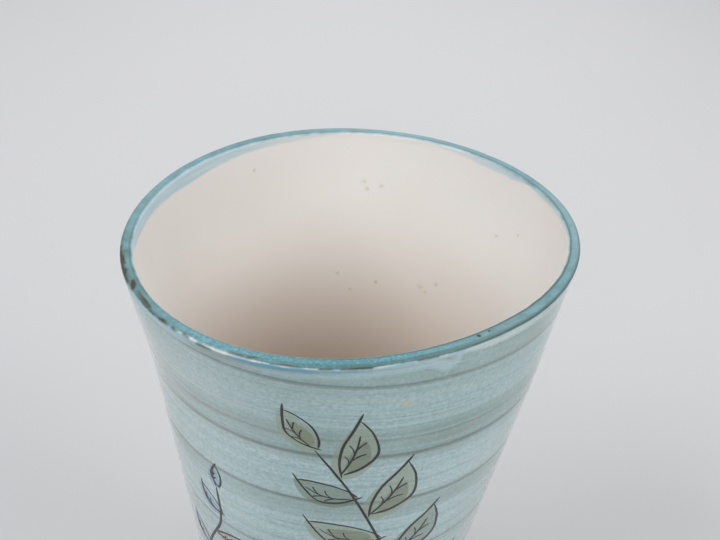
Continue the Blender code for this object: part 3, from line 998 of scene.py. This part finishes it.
def teal_rim_glaze():
    """Copper teal brushed over the lip and fired to satin: grainy with cyan in front, olive in its pools,
    with painted shade on its rounded corners.

    It breaks to white along its outer edge in front, partly as a painted highlight on that corner, and is
    rubbed brown there on the left. Beyond its edges it thins to the colours of its neighbours.
    """
    material, tree, place = start_material("brushed_teal_rim_glaze")
    names = ("past_edge", "past_end", "inward", "pools_and_shade", "cyan", "pale_coat", "rubbed", "broken_and_glint")
    marks = {name: add(tree, "Attribute", output="Fac", attribute_name=name) for name in names}
    grain, blot, tatter = [
        add(tree, "TexNoise", {"Vector": place, "Scale": per(size), "Detail": 3.0})
        for size in (GRAIN_SIZE, BLOT_SIZE, TATTER_SIZE)
    ]

    def straying(noise, name, at=0.0):
        """Millimetres past a place at a mark's edge, which strays by a noise."""
        strayed = add(tree, "Math", {0: noise, 1: WANDER, 2: marks[name]}, operation="MULTIPLY_ADD")
        return add(tree, "Math", {0: strayed, 1: at + 0.5 * WANDER}, operation="SUBTRACT")

    bright = add(tree, "MapRange", {"Value": blot, "From Min": 0.34, "From Max": 0.66})
    bluer = add(tree, "Math", {0: marks["cyan"], 1: 0.7}, operation="MULTIPLY")
    layers = [(bright, "#6F9AA2"), (bluer, "#4F93A3"), (marks["pale_coat"], "#A9C6D0")]
    for code, none, full in RIM_GRAINS:
        grains = add(tree, "MapRange", {"Value": grain, "From Min": none, "From Max": full, "To Max": 0.75})
        layers.append((add(tree, "Math", {0: grains, 1: marks["cyan"]}, operation="MULTIPLY"), code))

    # Olive where the glaze pools along its two edges, which is partly painted shade on the lip's rounded
    # corners
    for name, at, half in RIM_POOL_AND_SHADE_LINES:
        gap = add(tree, "Math", {0: straying(blot, name, at)}, operation="ABSOLUTE")
        near = add(tree, "MapRange", {"Value": gap, "From Min": half, "From Max": 0.1, "To Max": 0.9})
        layers.append((add(tree, "Math", {0: near, 1: marks["pools_and_shade"]}, operation="MULTIPLY"), "#42584F"))

    # Past its outer edge it thins to a pale roll, on which the brush presses of the wall start
    past = straying(tatter, "past_edge")
    thinned = add(tree, "MapRange", {"Value": past, "From Min": -0.1, "From Max": 0.25})
    layers += [(thinned, "#A3C3CB"), *painted_layers(tree, place, thinned, RIM_WASHES)]

    # White breaks along that edge, partly a painted highlight on its corner, and olive rubbing that is brown
    # to the clay in its middle
    for name, none, full, cover, code in EDGE_MARKS:
        mark_ends = {"From Min": none, "From Max": full, "To Max": cover}
        layers.append((add(tree, "MapRange", {"Value": straying(tatter, name), **mark_ends}), code))

    # Two dark burst bubbles on the lip at the front right
    for turn, inward, size in RIM_PITS:
        ends = {0: place, 1: lip_place(turn, inward)}
        away = add(tree, "VectorMath", ends, "Value", operation="DISTANCE")
        pit_ends = {"From Min": size * MM, "From Max": 0.4 * size * MM, "To Max": 0.9}
        layers.append((add(tree, "MapRange", {"Value": away, **pit_ends}), "#332A26"))

    # Inside the lip the teal gives way to the cream, or to the blue where the brush slipped
    inner_ends = {SHARE: lap_share(tree, place), UNDER: srgb(CREAM), OVER: srgb(LAP_BLUE)}
    inner = add(tree, "Mix", inner_ends, MIXED, data_type="RGBA")
    fade_ends = {"From Min": -0.5 * TEAL_FADE, "From Max": 0.5 * TEAL_FADE}
    layers.append((add(tree, "MapRange", {"Value": straying(blot, "past_end"), **fade_ends}), inner))

    bump = add(tree, "Bump", {"Strength": 0.2, "Distance": 0.1 * MM, "Height": grain})
    finish_surface(tree, "#56797A", layers, {"Roughness": 0.42, "Normal": bump, "IOR": GLASS_IOR})
    return material


# Laps of the rim's brush inside, in millimetres
LAP_RAGGEDNESS = 1.2  # how far the lower edge of the strokes strays
LAP_RAGGED_SIZE = 8
LAP_STREAK_LENGTH, LAP_STREAK_PITCH = 30, 1.5


def lap_share(tree, place):
    """How much of the rim's blue lies over the cream, in level brush streaks with a soft lower edge."""
    lap = add(tree, "Attribute", output="Fac", attribute_name="lap")
    cover = add(tree, "Attribute", output="Fac", attribute_name="lap_cover")
    ragged = add(tree, "TexNoise", {"Vector": place, "Scale": per(LAP_RAGGED_SIZE), "Detail": 3.0})
    strayed = add(tree, "Math", {0: ragged, 1: LAP_RAGGEDNESS, 2: lap}, operation="MULTIPLY_ADD")
    lapped = add(tree, "MapRange", {"Value": strayed, "From Min": 0.2, "From Max": 1.2})
    flat = (per(LAP_STREAK_LENGTH), per(LAP_STREAK_LENGTH), per(LAP_STREAK_PITCH))
    level = add(tree, "VectorMath", {0: place, 1: flat}, operation="MULTIPLY")
    streak = add(tree, "TexNoise", {"Vector": level, "Scale": 1.0, "Detail": 3.0})
    thin_ends = {"From Min": 0.38, "From Max": 0.62, "To Min": 1.1, "To Max": 0.75}
    thin = add(tree, "MapRange", {"Value": streak, **thin_ends})
    covered = add(tree, "Math", {0: lapped, 1: cover}, operation="MULTIPLY")
    return add(tree, "Math", {0: covered, 1: thin}, operation="MULTIPLY", use_clamp=True)


RUST, ASH, GREEN = "#B89768", "#ABA59A", "#A9BAB3"
SPECKS_INSIDE = (
    # angle about the axis in degrees, drop and radius in millimetres, colour
    (95, 63, 1.2, ASH),
    (90, 70, 1.2, RUST),
    (80, 65, 1.5, RUST),
    (62, 62, 2.0, RUST),
    (60, 63, 1.2, RUST),
    (56, 58, 1.3, ASH),
    (126, 12, 1.2, RUST),
    (88, 21, 1.5, GREEN),
    (87, 24, 1.3, RUST),
    (82, 22, 1.4, RUST),
    (38, 26, 1.2, ASH),
    (30, 20, 1.1, GREEN),
    (-60, 70, 1.4, RUST),
    (-110, 45, 1.3, RUST),
    (200, 52, 1.2, ASH),
)
SPECK_RAGGEDNESS = 2.4  # how far a speck's edge strays, and where it has ended, in its radii
SPECK_END = 2.1
SPECK_RAGGED_SIZE = 1.6  # millimetres
CLOUD_SIZE = 26
# Painted shade inside: the liner's cream darkens with depth below the rim
LINER_SHADE_START = 25 * MM  # drop below the rim where the liner starts to darken, and where it is darkest
LINER_SHADE_DEEPEST = 125 * MM


def inside_place(turn, drop):
    angle = math.radians(turn)
    z = HEIGHT - drop * MM
    radius = liner_inner(z) + float(mouth_swell(angle, z))
    return (radius * math.cos(angle), radius * math.sin(angle), z)


def cream_glaze():
    """Opaque cream tin glaze poured inside: smooth and softly glossy, with painted shade that darkens it to
    buff lower down.

    A few specks are fired into it, and the rim's brush left pale blue laps over it at the back.
    """
    material, tree, place = start_material("poured_cream_tin_glaze")
    cloud = add(tree, "TexNoise", {"Vector": place, "Scale": per(CLOUD_SIZE), "Detail": 3.0})
    ragged = add(tree, "TexNoise", {"Vector": place, "Scale": per(SPECK_RAGGED_SIZE), "Detail": 2.0})
    height = add(tree, "SeparateXYZ", {0: place}, "Z")
    # painted shade: the cream darkens to buff deeper inside the vase, where its walls shade it
    liner_shade_ends = {"Value": height, "From Min": HEIGHT - LINER_SHADE_START, "From Max": HEIGHT - LINER_SHADE_DEEPEST}
    liner_shade = add(tree, "MapRange", liner_shade_ends, interpolation_type="SMOOTHSTEP")
    layers = [(cloud, "#EBE7E3"), (liner_shade, DEEP_SHADE_CREAM), (lap_share(tree, place), LAP_BLUE)]
    for turn, drop, size, code in SPECKS_INSIDE:
        ends = {0: place, 1: inside_place(turn, drop)}
        away = add(tree, "VectorMath", ends, "Value", operation="DISTANCE")
        fray_ends = {0: ragged, 1: SPECK_RAGGEDNESS * size * MM, 2: away}
        frayed = add(tree, "Math", fray_ends, operation="MULTIPLY_ADD")
        speck_ends = {"From Min": SPECK_END * size * MM, "From Max": size * MM, "To Max": 0.5}
        layers.append((add(tree, "MapRange", {"Value": frayed, **speck_ends}), code))
    gloss = add(tree, "MapRange", {"Value": cloud, **MID, "To Min": 0.36, "To Max": 0.46})
    bump = add(tree, "Bump", {"Strength": 0.08, "Distance": 0.2 * MM, "Height": cloud})
    finish_surface(tree, CREAM, layers, {"Roughness": gloss, "Normal": bump, "IOR": GLASS_IOR})
    return material


GROG_SIZE, STAIN_SIZE = 0.9, 14  # millimetres


def fired_clay():
    """Earthenware turned on the wheel and left bare: matt buff, with pits of fine grog and faint stains."""
    material, tree, place = start_material("turned_bare_earthenware")
    grog = add(tree, "TexNoise", {"Vector": place, "Scale": per(GROG_SIZE), "Detail": 3.0})
    stain = add(tree, "TexNoise", {"Vector": place, "Scale": per(STAIN_SIZE), "Detail": 3.0})
    pits = add(tree, "MapRange", {"Value": grog, "From Min": 0.58, "From Max": 0.72, "To Max": 0.6})
    bump = add(tree, "Bump", {"Strength": 0.5, "Distance": 0.1 * MM, "Height": grog})
    layers = [(stain, "#BF9F82"), (pits, "#8E7059")]
    finish_surface(tree, "#D3B79A", layers, {"Roughness": 0.85, "Normal": bump})
    return material


INK_RUN_SIZE = 3  # millimetres


def ink():
    """Iron-black pigment drawn with a pen and fired into the glaze: near black, brown where it ran thin."""
    material, tree, place = start_material("fired_iron_black_pigment")
    run = add(tree, "TexNoise", {"Vector": place, "Scale": per(INK_RUN_SIZE), "Detail": 3.0})
    thin = add(tree, "MapRange", {"Value": run, "From Min": 0.5, "From Max": 0.75, "To Max": 0.6})
    finish_surface(tree, "#26272B", [(thin, "#4A4641")], {"Roughness": 0.3, "IOR": GLASS_IOR})
    return material


def build_vase():
    motifs = painted_motifs()
    clay = fired_clay()
    finish_piece(clay_wall(), clay, "clay_body")
    finish_piece(foot(), clay, "foot_ring")
    finish_piece(outer_coat(motifs), turquoise_glaze(), "outer_glaze")
    finish_piece(liner_coat(), cream_glaze(), "liner_glaze")
    finish_piece(rim_cap(motifs), teal_rim_glaze(), "rim_glaze")
    pigment = ink()
    for name, motif in motifs.items():
        finish_piece(ink_ribbons(name + "_ink_lines", motif), pigment, None)


# Stage, light and camera

FLOOR_RADIUS = 1.4
FLOOR_CORNERS = 96
FLOOR_COLOR = "#D6D6D8"
FLOOR_SHADE = "#D2D3D5"
FLOOR_CLOUD_SIZE = 300  # millimetres
BACKDROP_COLOR = "#D8D9DB"
AMBIENT = 0.2

LAMPS = (
    # name, place, point it is aimed at, width, watts, whether glazes mirror it
    ("left_softbox", (-0.90, -0.45, 1.22), (0, 0, 0.135), 0.9, 9.6, True),
    ("right_softbox", (1.05, -0.40, 1.00), (0, 0, 0.135), 0.9, 7.9, True),
    ("front_softbox", (0.00, -1.28, 1.10), (0, 0, 0.135), 0.9, 5.4, True),
    ("backdrop_softbox", (0.00, 0.95, 1.10), (0, 0.85, 0), 0.8, 7.5, False),
)

CAMERA_PITCH = math.radians(33.39)  # below the horizon
CAMERA_ROLL = math.radians(4.58)
CAMERA_DISTANCE = 0.3973  # to the level of the rim's centre, along the view
RIM_RIGHT_OF_AXIS = -3.79 * MM  # the rim's centre seen from the camera's axis
RIM_ABOVE_AXIS = 14.98 * MM
LENS = 55.94
SENSOR_WIDTH = 36.0
CLIP_START = 0.01


def floor():
    """Pale matt paper, with a faint cloudiness so that it isn't one flat colour."""
    turns = round_angles(FLOOR_CORNERS)
    corners = [(FLOOR_RADIUS * math.cos(turn), FLOOR_RADIUS * math.sin(turn), 0) for turn in turns]
    piece = new_piece("floor", corners, [range(FLOOR_CORNERS)])
    material, tree, place = start_material("pale_matt_paper")
    cloud = add(tree, "TexNoise", {"Vector": place, "Scale": per(FLOOR_CLOUD_SIZE), "Detail": 1.0})
    finish_surface(tree, FLOOR_COLOR, [(cloud, FLOOR_SHADE)], {"Roughness": 0.9})
    piece.data.materials.append(material)


def surroundings():
    """Even soft light, and a pale backdrop for whatever sees past the floor."""
    world = bpy.data.worlds.new("pale_studio")
    bpy.context.scene.world = world
    world.use_nodes = True
    tree = world.node_tree
    path = add(tree, "LightPath").node.outputs
    rays = {0: path["Is Glossy Ray"], 1: path["Is Transmission Ray"]}
    sharp = add(tree, "Math", rays, operation="MAXIMUM")
    seen = add(tree, "Math", {0: path["Is Camera Ray"], 1: sharp}, operation="MAXIMUM")
    world_ends = {UNDER: (AMBIENT, AMBIENT, AMBIENT, 1), OVER: srgb(BACKDROP_COLOR)}
    color = add(tree, "Mix", {SHARE: seen, **world_ends}, MIXED, data_type="RGBA")
    join(tree, tree.nodes["Background"], {"Color": color})


def lamps():
    for name, place, target, width, watts, mirrored in LAMPS:
        lamp = bpy.data.lights.new(name, "AREA")
        lamp.shape = "DISK"
        lamp.size = width
        lamp.energy = watts
        stand = bpy.data.objects.new(name, lamp)
        stand.location = place
        stand.visible_glossy = mirrored
        aim = Vector(target) - Vector(place)
        stand.rotation_euler = aim.to_track_quat("-Z", "Y").to_euler()
        bpy.context.scene.collection.objects.link(stand)


def camera():
    """The photographer's place: above the rim in front, tipped down, with the camera held slightly aslant."""
    forward = Vector((0, math.cos(CAMERA_PITCH), -math.sin(CAMERA_PITCH)))
    right = Vector((1, 0, 0))
    up = right.cross(forward)
    rim_center = Vector((0, 0, HEIGHT))
    place = rim_center - CAMERA_DISTANCE * forward - RIM_RIGHT_OF_AXIS * right - RIM_ABOVE_AXIS * up
    across = math.cos(CAMERA_ROLL) * right + math.sin(CAMERA_ROLL) * up
    upright = math.cos(CAMERA_ROLL) * up - math.sin(CAMERA_ROLL) * right
    lens = bpy.data.cameras.new("camera")
    lens.sensor_width = SENSOR_WIDTH
    lens.lens = LENS
    lens.clip_start = CLIP_START
    view = bpy.data.objects.new("camera", lens)
    turn = Matrix((across, upright, -forward)).transposed()
    view.matrix_world = Matrix.Translation(place) @ turn.to_4x4()
    bpy.context.scene.collection.objects.link(view)
    bpy.context.scene.camera = view


bpy.context.scene.view_settings.view_transform = "Standard"
camera()
build_vase()
floor()
surroundings()
lamps()
